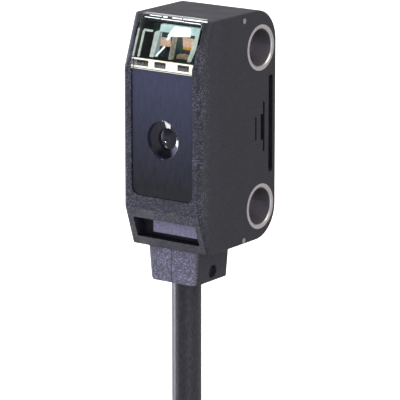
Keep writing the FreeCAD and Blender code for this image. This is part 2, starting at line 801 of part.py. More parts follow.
crimp_start = (0.0, size["cableY"], size["jacketTopZ"] - size["crimpTall"])
crimp_shell = rod("CrimpShell", "Z", crimp_start, size["crimpOuter"], size["crimpTall"])
crimp_bore = rod("CrimpBore", "Z", crimp_start, size["cableWide"], size["crimpTall"])
keep(less("CrimpRing", crimp_shell, crimp_bore), "crimp_ring")

# ---- cable: straight runs joined by tangent arcs ----


def rounded_path(label, route):
    """A wire along a route, with an arc at each corner as large as its runs allow."""
    edges = []
    start = route[0]
    for before, corner, after in zip(route, route[1:], route[2:]):
        back = (before - corner).normalize()
        ahead = (after - corner).normalize()
        half_turn = (math.pi - back.getAngle(ahead)) / 2
        reach = 0.45 * min(before.distanceToPoint(corner), after.distanceToPoint(corner))
        radius = reach / math.tan(half_turn)
        first = corner + back * reach
        last = corner + ahead * reach
        toward = (back + ahead).normalize()
        middle = corner + toward * (radius / math.cos(half_turn) - radius)
        print(f"{label}: turn {math.degrees(2 * half_turn):.1f} degrees, radius {radius:.1f}")
        edges.append(Part.LineSegment(start, first).toShape())
        edges.append(Part.Arc(first, middle, last).toShape())
        start = last
    edges.append(Part.LineSegment(start, route[-1]).toShape())
    return Part.Wire(edges)


def tube(name, route, wide):
    """A solid round tube along a rounded route."""
    path = rounded_path(name, route)
    direction = (route[1] - route[0]).normalize()
    ring = Part.Wire([Part.Circle(route[0], direction, wide / 2).toShape()])
    solid = path.makePipeShell([ring], True, True)
    expected = math.pi * wide * wide / 4 * path.Length
    print(f"{name}: length {path.Length:.1f}, volume {solid.Volume:.2f} of {expected:.2f}")
    if abs(solid.Volume - expected) > 0.01 * expected:
        raise ValueError(f"{name}: the tube's volume is wrong")
    feature = doc.addObject("Part::Feature", name)
    feature.Shape = solid
    return feature


coil_centre = Vector(0, driving["cableY"], driving["coilCentreZ"])
cable_route = [
    Vector(0, -5.4, -11.0),
    Vector(0, -5.4, -28.9),
    Vector(0, -3.65, -33.8),
    Vector(0, -0.27, -37.7),
    Vector(0, 4.25, -40.3),
]


def coil_torus(name):
    """The outer shape of the coiled cable, its axis along X."""
    torus = doc.addObject("Part::Torus", name)
    bind(torus, Radius1=size["coilRadius"], Radius2=size["bundleRadius"])
    torus.Placement = Placement(coil_centre, turn_to["X"])
    place(torus, 0.0, size["cableY"], size["coilCentreZ"])
    return torus


keep(less("CableLead", tube("LeadTube", cable_route, driving["cableWide"]), coil_torus("LeadLimit")), "cable")
keep(coil_torus("Coil"), "cable_coil")

tail_y = size["cableY"] + size["outerTurn"]
tail_foot_z = size["coilCentreZ"] - size["tailLong"]
tail_rod = rod("TailRod", "Z", (size["tailX"], tail_y, tail_foot_z), size["cableWide"], size["tailLong"])
keep(less("CableTail", tail_rod, coil_torus("TailLimit")), "cable_tail")

# ---- bare end: three cores that hang from the jacket, with tinned tips ----

tail_end = Vector(float(size["tailX"]), float(tail_y), float(tail_foot_z))
core_drops = [0.0, -8.0, -16.0, -24.0, -31.0]
core_sways = {
    "brown": [(-0.55, 0.0), (-0.55, 0.0), (-1.1, 0.6), (-2.0, 0.8), (-3.1, 0.5)],
    "black": [(0.28, -0.48), (0.28, -0.48), (0.5, -1.2), (0.3, -2.3), (0.2, -3.6)],
    "blue": [(0.28, 0.48), (0.28, 0.48), (0.9, 1.0), (1.8, 1.2), (2.4, 1.9)],
}
tips = []
for colour, sways in core_sways.items():
    core_route = [tail_end + Vector(x, y, drop) for (x, y), drop in zip(sways, core_drops)]
    keep(tube(f"Core{colour.title()}", core_route, driving["coreWide"]), f"core_{colour}")
    last_run = (core_route[-1] - core_route[-2]).normalize()
    tip = doc.addObject("Part::Cylinder", f"Tip{colour.title()}")
    bind(tip, Radius=size["tipWide"] / 2, Height=size["tipLong"])
    tip.Placement = Placement(core_route[-1], Rotation(Vector(0, 0, 1), last_run))
    tips.append(tip)
keep(grouped("CoreTips", tips), "core_tips")

# ---- ties round the coil ----

ties = []
for index, tie_angle in enumerate(tie_angles):
    turn = Rotation(Vector(1, 0, 0), tie_angle)
    middle = coil_centre + turn.multVec(Vector(0, driving["coilRadius"], 0))
    tangent = turn.multVec(Vector(0, 0, 1))
    start = middle - tangent * (driving["tieWide"] / 2)
    hoop = doc.addObject("Part::Cylinder", f"TieHoop{index}")
    bind(hoop, Radius=size["bundleRadius"] + size["tieThick"], Height=size["tieWide"])
    hoop.Placement = Placement(start, Rotation(Vector(0, 0, 1), tangent))
    ties.append(less(f"Tie{index}", hoop, coil_torus(f"TieLimit{index}")))
keep(grouped("CoilTies", ties), "coil_ties")

# ---- checks and export ----

doc.recompute()
failed = [thing.Name for thing in doc.Objects if {"Invalid", "Error"} & set(thing.State)]
if failed:
    raise ValueError(f"failed features: {failed}")
for thing in sub_parts:
    if thing.Shape.isNull() or not thing.Shape.isValid():
        raise ValueError(f"{thing.Label} has no valid shape")
    print(f"{thing.Label}: {len(thing.Shape.Solids)} solid(s), {thing.Shape.Volume:.2f} cubic mm")

os.makedirs("parts", exist_ok=True)
for thing in sub_parts:
    thing.Shape.exportStep(f"parts/{thing.Label}.step")
print(f"{len(sub_parts)} sub-parts written")
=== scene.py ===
import math
import random

import bmesh
import bpy
from mathutils import Matrix, Vector


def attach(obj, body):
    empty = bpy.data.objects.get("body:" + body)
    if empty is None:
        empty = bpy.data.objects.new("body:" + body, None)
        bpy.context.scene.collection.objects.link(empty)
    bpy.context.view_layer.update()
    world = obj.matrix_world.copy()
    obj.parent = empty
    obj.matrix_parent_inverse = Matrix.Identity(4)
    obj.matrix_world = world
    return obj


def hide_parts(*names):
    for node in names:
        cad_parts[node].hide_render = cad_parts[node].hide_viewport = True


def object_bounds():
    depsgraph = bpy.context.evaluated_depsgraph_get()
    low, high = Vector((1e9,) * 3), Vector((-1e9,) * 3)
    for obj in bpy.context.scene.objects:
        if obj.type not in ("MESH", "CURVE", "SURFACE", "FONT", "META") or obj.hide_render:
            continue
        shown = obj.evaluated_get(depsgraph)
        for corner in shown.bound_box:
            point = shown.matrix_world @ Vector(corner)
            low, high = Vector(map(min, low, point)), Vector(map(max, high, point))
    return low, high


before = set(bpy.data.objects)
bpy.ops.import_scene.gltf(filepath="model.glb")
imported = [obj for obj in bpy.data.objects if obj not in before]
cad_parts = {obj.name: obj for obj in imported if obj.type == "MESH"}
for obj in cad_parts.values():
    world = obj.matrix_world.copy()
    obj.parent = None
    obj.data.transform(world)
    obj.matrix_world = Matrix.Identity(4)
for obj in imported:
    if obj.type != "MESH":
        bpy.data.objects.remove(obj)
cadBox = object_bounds()
mm = 0.001


# colours, nodes and small helpers

def hexColour(text):
    # sRGB hex to the linear colour that a shader reads.
    parts = [int(text[place:place + 2], 16) / 255 for place in (1, 3, 5)]
    linear = [part / 12.92 if part <= 0.04045 else ((part + 0.055) / 1.055) ** 2.4 for part in parts]
    return (*linear, 1.0)


def addNode(tree, kind, settings=None, feeds=None):
    node = tree.nodes.new(kind)
    for name, value in (settings or {}).items():
        setattr(node, name, value)
    for name, value in (feeds or {}).items():
        if isinstance(value, bpy.types.NodeSocket):
            tree.links.new(value, node.inputs[name])
        else:
            node.inputs[name].default_value = value
    return node


def newMaterial(name):
    material = bpy.data.materials.new(name)
    material.use_nodes = True
    material.node_tree.nodes.clear()
    return material


def closeMaterial(material, shader):
    addNode(material.node_tree, "ShaderNodeOutputMaterial", feeds={"Surface": shader.outputs[0]})
    return material


def rampStops(ramp, stops):
    # Set a colour ramp's stops: position and hex colour.
    elements = ramp.color_ramp.elements
    while len(elements) > len(stops):
        elements.remove(elements[-1])
    while len(elements) < len(stops):
        elements.new(1.0)
    for element, (position, colour) in zip(elements, stops):
        element.position = position
        element.color = hexColour(colour)


def finishNode(node, material):
    # Give a carried-over CAD node its material.
    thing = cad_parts[node]
    for materialSlot in thing.material_slots:
        materialSlot.material = material


def deselectAll():
    if bpy.context.object and bpy.context.object.mode != "OBJECT":
        bpy.ops.object.mode_set(mode="OBJECT")
    bpy.ops.object.select_all(action="DESELECT")


def choose(things):
    # Select these objects and no others, the first of them active.
    deselectAll()
    for thing in things:
        thing.select_set(True)
    bpy.context.view_layer.objects.active = things[0]


def joined(things):
    choose(things)
    bpy.ops.object.join()
    return bpy.context.object


def dressPiece(thing, name, material):
    # Name a finished piece, give it its material and let it ride on the sensor.
    thing.name = name
    thing.data.name = name
    thing.data.materials.clear()
    thing.data.materials.append(material)
    choose([thing])
    if thing.type == "MESH":
        bpy.ops.object.transform_apply(location=True, rotation=True, scale=True)
    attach(thing, "root")
    return thing


def joinedPiece(parts, name, material, smoothAngle=35):
    piece = dressPiece(joined(parts), name, material)
    bpy.ops.object.shade_smooth_by_angle(angle=math.radians(smoothAngle))
    return piece


# camera at the viewing angle, with the sensor high in the frame and the cable running out below

viewFacts = {
    "azimuth": 35.4,        # degrees round from the sensing face towards +X
    "elevation": 12.2,      # degrees above the horizon
    "distance": 276 * mm,
    "lens": 271.6,          # millimetres: a long lens, so nearly parallel edges
    "aimRight": -0.00702,   # how far the aim leaves the origin, per unit of distance
    "aimUp": -0.02604,
    "sensorWide": 36,
    "clip": (0.01, 20),
}


def addCamera(facts):
    azimuth = math.radians(facts["azimuth"])
    elevation = math.radians(facts["elevation"])
    back = Vector((math.sin(azimuth) * math.cos(elevation), -math.cos(azimuth) * math.cos(elevation),
                   math.sin(elevation)))
    right = Vector((math.cos(azimuth), math.sin(azimuth), 0))
    up = back.cross(right)
    aim = -back + right * facts["aimRight"] + up * facts["aimUp"]
    lensData = bpy.data.cameras.new("studioCamera")
    lensData.lens = facts["lens"]
    lensData.sensor_width = facts["sensorWide"]
    lensData.clip_start, lensData.clip_end = facts["clip"]
    camera = bpy.data.objects.new("studioCamera", lensData)
    bpy.context.scene.collection.objects.link(camera)
    camera.location = back * facts["distance"]
    camera.rotation_euler = aim.to_track_quat("-Z", "Y").to_euler()
    bpy.context.scene.camera = camera


addCamera(viewFacts)
bpy.context.scene.view_settings.view_transform = "Standard"
print("camera placed")


# white studio: an even surround with a dark flag and several glows in it, and one small key light above

studioFacts = {
    "surround": 0.62,
    "surroundTint": "#f7f5f8",
    "dimWay": (-0.574, -0.684, 0.449),      # a dark flag there keeps the sloping window clear
    "dimLevel": 0.12,
    "dimAngles": (36, 20),      # half angles of the flag and of its darkest middle, in degrees
    "glows": [      # direction, half angle of the glow, half angle of its bright middle, colour, strength
        ((-0.574, -0.790, -0.214), 34, 12, "#a9b2e6", 0.22),    # wide cool panel that the front faces mirror
        ((-0.947, -0.277, -0.168), 10, 7, "#ffffff", 17.0),      # window to the left, for the lens rim
        ((-0.627, -0.435, -0.647), 8, 6, "#ffffff", 15.0),     # reflector low on the left
        ((-0.620, -0.712, -0.330), 3.4, 2.8, "#ffffff", 60.0),  # spark for the middle of the lens
        ((0.50, -0.25, 0.83), 38, 20, "#fff8f0", 0.9),          # overhead diffuser
        ((0.763, -0.547, -0.214), 22, 8, "#e6e8ff", 0.9),       # edge light on the right
        ((-0.985, -0.150, 0.080), 34, 20, "#ccd0f2", 3.6),      # broad sheet behind left, for the edges
        ((-0.567, -0.189, 0.778), 10, 6, "#ffffff", 12.0),      # small lamp high left, for lower rims
    ],
    "keyPlace": (0.032, -0.008, 0.044),
    "keySize": 0.03,
    "keyPower": 0.0075,
    "floorDrop": 1.5 * mm,
    "floorSize": 6.0,
}


def addStudio(facts):
    world = bpy.data.worlds.new("studioSurround")
    bpy.context.scene.world = world
    world.use_nodes = True
    tree = world.node_tree
    tree.nodes.clear()
    place = addNode(tree, "ShaderNodeTexCoord")
    flag = addNode(tree, "ShaderNodeVectorMath", {"operation": "DOT_PRODUCT"})
    tree.links.new(place.outputs["Generated"], flag.inputs[0])
    flag.inputs[1].default_value = Vector(facts["dimWay"]).normalized()
    dimOuter, dimInner = facts["dimAngles"]
    spread = addNode(tree, "ShaderNodeMapRange", {"interpolation_type": "SMOOTHSTEP"}, {
        "Value": flag.outputs["Value"], "From Min": math.cos(math.radians(dimOuter)),
        "From Max": math.cos(math.radians(dimInner)), "To Min": facts["surround"], "To Max": facts["dimLevel"]})
    room = addNode(tree, "ShaderNodeBackground", feeds={
        "Color": hexColour(facts["surroundTint"]), "Strength": spread.outputs["Result"]})
    light = room.outputs[0]
    for direction, outer, inner, colour, strength in facts["glows"]:
        facing = addNode(tree, "ShaderNodeVectorMath", {"operation": "DOT_PRODUCT"})
        tree.links.new(place.outputs["Generated"], facing.inputs[0])
        facing.inputs[1].default_value = Vector(direction).normalized()
        level = addNode(tree, "ShaderNodeMapRange", {"interpolation_type": "SMOOTHSTEP"}, {
            "Value": facing.outputs["Value"], "From Min": math.cos(math.radians(outer)),
            "From Max": math.cos(math.radians(inner)), "To Min": 0.0, "To Max": strength})
        glow = addNode(tree, "ShaderNodeBackground", feeds={
            "Color": hexColour(colour), "Strength": level.outputs["Result"]})
        both = addNode(tree, "ShaderNodeAddShader")
        tree.links.new(light, both.inputs[0])
        tree.links.new(glow.outputs[0], both.inputs[1])
        light = both.outputs[0]
    backdrop = addNode(tree, "ShaderNodeBackground", feeds={"Color": hexColour("#ffffff"), "Strength": 1.0})
    seen = addNode(tree, "ShaderNodeLightPath")
    choice = addNode(tree, "ShaderNodeMixShader", feeds={"Fac": seen.outputs["Is Camera Ray"]})
    tree.links.new(light, choice.inputs[1])
    tree.links.new(backdrop.outputs[0], choice.inputs[2])
    addNode(tree, "ShaderNodeOutputWorld", feeds={"Surface": choice.outputs[0]})
    key = bpy.data.lights.new("keyLight", "AREA")
    key.size = facts["keySize"]
    key.energy = facts["keyPower"]
    lamp = bpy.data.objects.new("keyLight", key)
    bpy.context.scene.collection.objects.link(lamp)
    lamp.location = facts["keyPlace"]
    lamp.rotation_euler = (-Vector(facts["keyPlace"])).to_track_quat("-Z", "Y").to_euler()
    deselectAll()
    bpy.ops.mesh.primitive_plane_add(size=facts["floorSize"], location=(0, 0, cadBox[0].z - facts["floorDrop"]))
    floor = bpy.context.object
    floor.name = "paleFloor"
    floor.visible_glossy = False      # the surround lights the sensor from below as well
    floor.visible_diffuse = False
    paper = newMaterial("whitePaper")
    tree = paper.node_tree
    place = addNode(tree, "ShaderNodeTexCoord")
    fibre = addNode(tree, "ShaderNodeTexNoise", feeds={"Vector": place.outputs["Object"], "Scale": 400.0})
    tone = addNode(tree, "ShaderNodeValToRGB", feeds={"Fac": fibre.outputs["Fac"]})
    rampStops(tone, [(0.3, "#f6f6f6"), (0.7, "#fafafa")])
    sheetShader = addNode(tree, "ShaderNodeBsdfPrincipled", feeds={
        "Base Color": tone.outputs["Color"], "Roughness": 0.9, "Specular IOR Level": 0.1,
        "Emission Color": hexColour("#ffffff"), "Emission Strength": 0.7})
    closeMaterial(paper, sheetShader)
    floor.data.materials.append(paper)


addStudio(studioFacts)
print("studio lit")


# materials

def multiply(tree, first, second):
    product = addNode(tree, "ShaderNodeMath", {"operation": "MULTIPLY"})
    tree.links.new(first, product.inputs[0])
    tree.links.new(second, product.inputs[1])
    return product.outputs[0]


def mouldedPbt(name, dark, light, roughness, paintedGlint, paintedSideGlint, frontY, glintFadeY, paintedLightY, paintedLightShare, paintedLightTint, grain):
    # Glass-filled PBT from a spark-eroded mould: an even grain, with painted glints strongest at the front, and
    # a paler tint painted on the front as light.
    material = newMaterial(name)
    tree = material.node_tree
    place = addNode(tree, "ShaderNodeTexCoord")
    pits = addNode(tree, "ShaderNodeTexNoise", feeds={
        "Vector": place.outputs["Object"], "Scale": 1 / (0.14 * mm), "Detail": 4.0, "Roughness": 0.65})
    cloud = addNode(tree, "ShaderNodeTexNoise", feeds={
        "Vector": place.outputs["Object"], "Scale": 1 / (2.2 * mm), "Detail": 2.0})
    tone = addNode(tree, "ShaderNodeValToRGB", feeds={"Fac": pits.outputs["Fac"]})
    rampStops(tone, [(0.3, dark), (0.72, light)])
    # painted highlights: scattered cells mixed towards a light blue-grey, strongest at the front
    paintedGlintCells = addNode(tree, "ShaderNodeTexVoronoi", feeds={
        "Vector": place.outputs["Object"], "Scale": 1 / grain})
    chance = addNode(tree, "ShaderNodeSeparateColor", feeds={"Color": paintedGlintCells.outputs["Color"]})
    chosen = addNode(tree, "ShaderNodeMapRange", feeds={
        "Value": chance.outputs["Red"], "From Min": 0.52, "From Max": 1.0})
    patchy = addNode(tree, "ShaderNodeMapRange", feeds={
        "Value": cloud.outputs["Fac"], "From Min": 0.40, "From Max": 0.62, "To Min": 0.45, "To Max": 1.0})
    spot = addNode(tree, "ShaderNodeSeparateXYZ", feeds={"Vector": place.outputs["Object"]})
    glintByDepth = addNode(tree, "ShaderNodeMapRange", feeds={
        "Value": spot.outputs["Y"], "From Min": frontY, "From Max": glintFadeY,
        "To Min": paintedGlint, "To Max": paintedSideGlint})
    strength = multiply(tree, chosen.outputs["Result"], glintByDepth.outputs["Result"])
    strength = multiply(tree, strength, patchy.outputs["Result"])
    # painted light: the front faces take a share of a paler tint, as if lit more than the sides
    paler = addNode(tree, "ShaderNodeMapRange", feeds={
        "Value": spot.outputs["Y"], "From Min": paintedLightY - 0.15 * mm, "From Max": paintedLightY + 0.1 * mm,
        "To Min": paintedLightShare, "To Max": 0.0})
    litFrontTone = addNode(tree, "ShaderNodeMixRGB", {"blend_type": "MIX"}, {
        "Fac": paler.outputs["Result"], "Color1": tone.outputs["Color"], "Color2": hexColour(paintedLightTint)})
    # painted glints: the chosen cells turn towards this light blue-grey
    withPaintedGlints = addNode(tree, "ShaderNodeMixRGB", {"blend_type": "MIX"}, {
        "Fac": strength, "Color1": litFrontTone.outputs["Color"], "Color2": hexColour("#9fa2bd")})
    dull = addNode(tree, "ShaderNodeMapRange", feeds={
        "Value": cloud.outputs["Fac"], "From Min": 0.3, "From Max": 0.7,
        "To Min": roughness - 0.06, "To Max": roughness + 0.06})
    bump = addNode(tree, "ShaderNodeBump", feeds={
        "Height": pits.outputs["Fac"], "Strength": 0.7, "Distance": 0.03 * mm})
    shader = addNode(tree, "ShaderNodeBsdfPrincipled", feeds={
        "Base Color": withPaintedGlints.outputs["Color"], "Roughness": dull.outputs["Result"], "IOR": 1.5,
        "Normal": bump.outputs["Normal"]})
    return closeMaterial(material, shader)


def polishedAcrylic(name, high, low, highZ, lowZ, roughness):
    # Infrared-passing smoked acrylic, polished in the mould: glossy, with painted shade that darkens its blue
    # from the top towards the foot.
    material = newMaterial(name)
    tree = material.node_tree
    place = addNode(tree, "ShaderNodeTexCoord")
    flow = addNode(tree, "ShaderNodeMapping", feeds={
        "Vector": place.outputs["Object"], "Scale": (1.0, 1.0, 0.3)})
    streak = addNode(tree, "ShaderNodeTexNoise", feeds={
        "Vector": flow.outputs["Vector"], "Scale": 1 / (0.35 * mm), "Detail": 4.0, "Roughness": 0.7})
    spot = addNode(tree, "ShaderNodeSeparateXYZ", feeds={"Vector": place.outputs["Object"]})
    # painted shade: lighter at the top, darker towards the foot
    depth = addNode(tree, "ShaderNodeMapRange", feeds={
        "Value": spot.outputs["Z"], "From Min": lowZ, "From Max": highZ, "To Min": 0.0, "To Max": 0.75})
    uneven = addNode(tree, "ShaderNodeMath", {"operation": "MULTIPLY_ADD"})
    tree.links.new(streak.outputs["Fac"], uneven.inputs[0])
    uneven.inputs[1].default_value = 0.5
    tree.links.new(depth.outputs["Result"], uneven.inputs[2])
    tone = addNode(tree, "ShaderNodeValToRGB", feeds={"Fac": uneven.outputs[0]})
    rampStops(tone, [(0.2, low), (1.0, high)])
    dull = addNode(tree, "ShaderNodeMapRange", feeds={
        "Value": streak.outputs["Fac"], "To Min": roughness * 0.7, "To Max": roughness * 1.3})
    shader = addNode(tree, "ShaderNodeBsdfPrincipled", feeds={
        "Base Color": tone.outputs["Color"], "Roughness": dull.outputs["Result"], "IOR": 1.49})
    return closeMaterial(material, shader)


def clearPlastic(name, tint, clear, roughness, ior, milky, glow=0.0):
    # Clear moulded plastic: see-through, with a faint tint, a milky share where it is frosted, and a painted
    # glow in its own colour.
    material = newMaterial(name)
    tree = material.node_tree
    place = addNode(tree, "ShaderNodeTexCoord")
    flow = addNode(tree, "ShaderNodeTexNoise", feeds={
        "Vector": place.outputs["Object"], "Scale": 1 / (0.8 * mm), "Detail": 2.0})
    tone = addNode(tree, "ShaderNodeValToRGB", feeds={"Fac": flow.outputs["Fac"]})
    rampStops(tone, [(0.2, tint), (0.8, clear)])
    # painted light: emission in the plastic's own colour
    shader = addNode(tree, "ShaderNodeBsdfPrincipled", feeds={
        "Base Color": tone.outputs["Color"], "Roughness": roughness, "IOR": ior,
        "Transmission Weight": 1.0 - milky, "Emission Color": tone.outputs["Color"], "Emission Strength": glow})
    return closeMaterial(material, shader)


def turnedSteel(name, dark, light, roughness, ringPitch, boreShadeTint, endX):
    # Nickel-plated steel, turned: fine tool rings, bright faces, and a duller bore further in, darkened by
    # painted shade.
    material = newMaterial(name)
    tree = material.node_tree
    place = addNode(tree, "ShaderNodeTexCoord")
    stretch = addNode(tree, "ShaderNodeMapping", feeds={
        "Vector": place.outputs["Object"], "Scale": (6.0, 1.0, 1.0)})
    toolMark = addNode(tree, "ShaderNodeTexNoise", feeds={
        "Vector": stretch.outputs["Vector"], "Scale": 1 / ringPitch, "Detail": 3.0})
    tone = addNode(tree, "ShaderNodeValToRGB", feeds={"Fac": toolMark.outputs["Fac"]})
    rampStops(tone, [(0.3, dark), (0.7, light)])
    dull = addNode(tree, "ShaderNodeMapRange", feeds={
        "Value": toolMark.outputs["Fac"], "To Min": roughness - 0.08, "To Max": roughness + 0.08})
    bump = addNode(tree, "ShaderNodeBump", feeds={
        "Height": toolMark.outputs["Fac"], "Strength": 0.25, "Distance": 0.01 * mm})
    spot = addNode(tree, "ShaderNodeSeparateXYZ", feeds={"Vector": place.outputs["Object"]})
    inward = addNode(tree, "ShaderNodeMath", {"operation": "ABSOLUTE"})
    tree.links.new(spot.outputs["X"], inward.inputs[0])
    within = addNode(tree, "ShaderNodeMapRange", feeds={
        "Value": inward.outputs[0], "From Min": endX - 0.12 * mm, "From Max": endX - 0.04 * mm,
        "To Min": 1.0, "To Max": 0.0})
    duller = addNode(tree, "ShaderNodeMath", {"operation": "MULTIPLY_ADD"})
    tree.links.new(within.outputs["Result"], duller.inputs[0])
    duller.inputs[1].default_value = 0.22
    tree.links.new(dull.outputs["Result"], duller.inputs[2])
    # painted shade: inside the bore the colour is multiplied by a darker tint
    boreShaded = addNode(tree, "ShaderNodeMixRGB", {"blend_type": "MULTIPLY"}, {
        "Fac": within.outputs["Result"], "Color1": tone.outputs["Color"], "Color2": hexColour(boreShadeTint)})
    shader = addNode(tree, "ShaderNodeBsdfPrincipled", feeds={
        "Base Color": boreShaded.outputs["Color"], "Metallic": 1.0, "Roughness": duller.outputs[0],
        "Normal": bump.outputs["Normal"]})
    return closeMaterial(material, shader)


def extrudedPvc(name, dark, light, roughness):
    # PVC drawn out of a die: satin, with faint lines and a slight unevenness along its length.
    material = newMaterial(name)
    tree = material.node_tree
    place = addNode(tree, "ShaderNodeTexCoord")
    drawn = addNode(tree, "ShaderNodeMapping", feeds={
        "Vector": place.outputs["Object"], "Scale": (1.0, 1.0, 0.3)})
    fine = addNode(tree, "ShaderNodeTexNoise", feeds={
        "Vector": drawn.outputs["Vector"], "Scale": 1 / (0.12 * mm), "Detail": 3.0})
    tone = addNode(tree, "ShaderNodeValToRGB", feeds={"Fac": fine.outputs["Fac"]})
    rampStops(tone, [(0.3, dark), (0.7, light)])
    bump = addNode(tree, "ShaderNodeBump", feeds={
        "Height": fine.outputs["Fac"], "Strength": 0.3, "Distance": 0.01 * mm})
    shader = addNode(tree, "ShaderNodeBsdfPrincipled", feeds={
        "Base Color": tone.outputs["Color"], "Roughness": roughness, "IOR": 1.53,
        "Normal": bump.outputs["Normal"]})
    return closeMaterial(material, shader)


def plainMoulding(name, dark, light, roughness, metallic=0.0, glow=0.0):
    # A small part's finish: fine mottling and a soft bump from its mould or plating, and where given a painted
    # glow in its own colour.
    material = newMaterial(name)
    tree = material.node_tree
    place = addNode(tree, "ShaderNodeTexCoord")
    mottle = addNode(tree, "ShaderNodeTexNoise", feeds={
        "Vector": place.outputs["Object"], "Scale": 1 / (0.2 * mm), "Detail": 4.0})
    tone = addNode(tree, "ShaderNodeValToRGB", feeds={"Fac": mottle.outputs["Fac"]})
    rampStops(tone, [(0.3, dark), (0.7, light)])
    bump = addNode(tree, "ShaderNodeBump", feeds={
        "Height": mottle.outputs["Fac"], "Strength": 0.2, "Distance": 0.01 * mm})
    feeds = {"Base Color": tone.outputs["Color"], "Roughness": roughness, "Normal": bump.outputs["Normal"]}
    if metallic:
        feeds["Metallic"] = metallic
    # painted light: emission in the part's own colour
    if glow:
        feeds["Emission Color"] = tone.outputs["Color"]
        feeds["Emission Strength"] = glow
    return closeMaterial(material, addNode(tree, "ShaderNodeBsdfPrincipled", feeds=feeds))


def solderMask(name):
    # Epoxy-glass board under green solder mask: copper tracks show through as paler stripes.
    material = newMaterial(name)
    tree = material.node_tree
    place = addNode(tree, "ShaderNodeTexCoord")
    tracks = addNode(tree, "ShaderNodeTexBrick", {"offset": 0.37, "squash": 0.6, "squash_frequency": 3}, {
        "Scale": 1.0, "Color1": hexColour("#0c3a2c"), "Color2": hexColour("#10493a"),
        "Mortar": hexColour("#1a5c48"), "Mortar Size": 0.10 * mm, "Brick Width": 1.1 * mm,
        "Row Height": 0.7 * mm})
    turned = addNode(tree, "ShaderNodeMapping", feeds={
        "Vector": place.outputs["Object"], "Rotation": (math.radians(90), 0, 0)})
    tree.links.new(turned.outputs["Vector"], tracks.inputs["Vector"])
    shader = addNode(tree, "ShaderNodeBsdfPrincipled", feeds={
        "Base Color": tracks.outputs["Color"], "Roughness": 0.3, "IOR": 1.55})
    return closeMaterial(material, shader)


caseFinish = {
    "dark": "#111015",
    "light": "#2c2b33",
    "roughness": 0.5,
    "paintedGlint": 0.50,      # how strongly the painted glints show at the front
    "paintedSideGlint": 0.06,      # and further back
    "frontY": -9.1 * mm,      # the first gives way to the second between these depths
    "glintFadeY": -7.6 * mm,
    "paintedLightY": -6.3 * mm,      # in front of this depth, a share of a paler tint: painted light on the front faces
    "paintedLightShare": 0.03,
    "paintedLightTint": "#686a84",
    "grain": 0.085 * mm,
}
bootFinish = {
    "dark": "#25242b",
    "light": "#3c3b45",
    "roughness": 0.6,
    # painted glints, strong on the boot's front
    "paintedGlint": 1.5,
    "paintedSideGlint": 0.05,
    "frontY": -7.65 * mm,
    "glintFadeY": -7.25 * mm,
    # painted light: in front of this depth, a large share of a paler tint on the boot's front
    "paintedLightY": -7.35 * mm,
    "paintedLightShare": 0.68,
    "paintedLightTint": "#7a7788",
    "grain": 0.10 * mm,
}
casePbt = mouldedPbt("mouldedBlackPbt", **caseFinish)
bootPbt = mouldedPbt("sparkErodedBootPlastic", **bootFinish)

# high and low colour of the painted shade, the heights that have them, roughness
smokedAcrylic = polishedAcrylic("polishedSmokedAcrylic", "#464b69", "#06060c", 6.1 * mm, -4.6 * mm, 0.05)
lensAcrylic = polishedAcrylic("smokedLensAcrylic", "#353849", "#0c0c12", 1.5 * mm, -1.8 * mm, 0.03)

# tint, clear, roughness, IOR, milky share, and a painted glow that stands in for the light gathering behind the
# window
windowPc = clearPlastic("clearWindowPolycarbonate", "#eaf6f2", "#ffffff", 0.015, 1.58, 0.0)
guidePc = clearPlastic("milkyGuidePolycarbonate", "#c3cfc6", "#f2f8f2", 0.15, 1.58, 0.6, 0.30)
ribPc = clearPlastic("smokyGuidePolycarbonate", "#a3978a", "#d6cfc4", 0.06, 1.58, 0.35, 0.16)
# painted highlights: a frosted, strongly glowing plastic for the ledge's bright edges and blocks
ledgeHighlightPc = clearPlastic("glowingLedgeHighlightPolycarbonate", "#fff2cf", "#ffffff", 0.3, 1.58, 0.9, 0.85)
panePc = clearPlastic("greyPanePolycarbonate", "#a3aab0", "#d5dade", 0.08, 1.58, 0.45, 0.16)
ledgeBodyPc = clearPlastic("smokyLedgePolycarbonate", "#57544f", "#8d8a84", 0.2, 1.58, 0.6, 0.10)
frostedPc = clearPlastic("frostedGuidePolycarbonate", "#a9c6c6", "#e6f4f4", 0.3, 1.58, 0.80, 0.42)
prismPc = clearPlastic("polishedPrismPolycarbonate", "#f4fffd", "#ffffff", 0.1, 1.58, 0.9, 0.75)
lampEpoxy = clearPlastic("clearLampEpoxy", "#ffe4d4", "#ffffff", 0.03, 1.54, 0.0)

# dark, light, roughness, pitch of the tool rings, painted shade of the bore, distance of the ends from the
# middle
sleeveSteel = turnedSteel("turnedNickelSteel", "#beb8b6", "#e6e1df", 0.30, 0.15 * mm, "#c3c3c8", 4.35 * mm)
pinSteel = turnedSteel("turnedPinSteel", "#9a9894", "#c4c1bc", 0.25, 0.1 * mm, "#a0a0a0", 4.35 * mm)

# dark, light, roughness
jacketPvc = extrudedPvc("extrudedJacketPvc", "#1a1a1e", "#38383f", 0.42)
brownPvc = extrudedPvc("extrudedBrownPvc", "#4a2415", "#5c2f1c", 0.35)
blackPvc = extrudedPvc("extrudedBlackPvc", "#141416", "#202024", 0.35)
bluePvc = extrudedPvc("extrudedBluePvc", "#16408e", "#2153ad", 0.35)

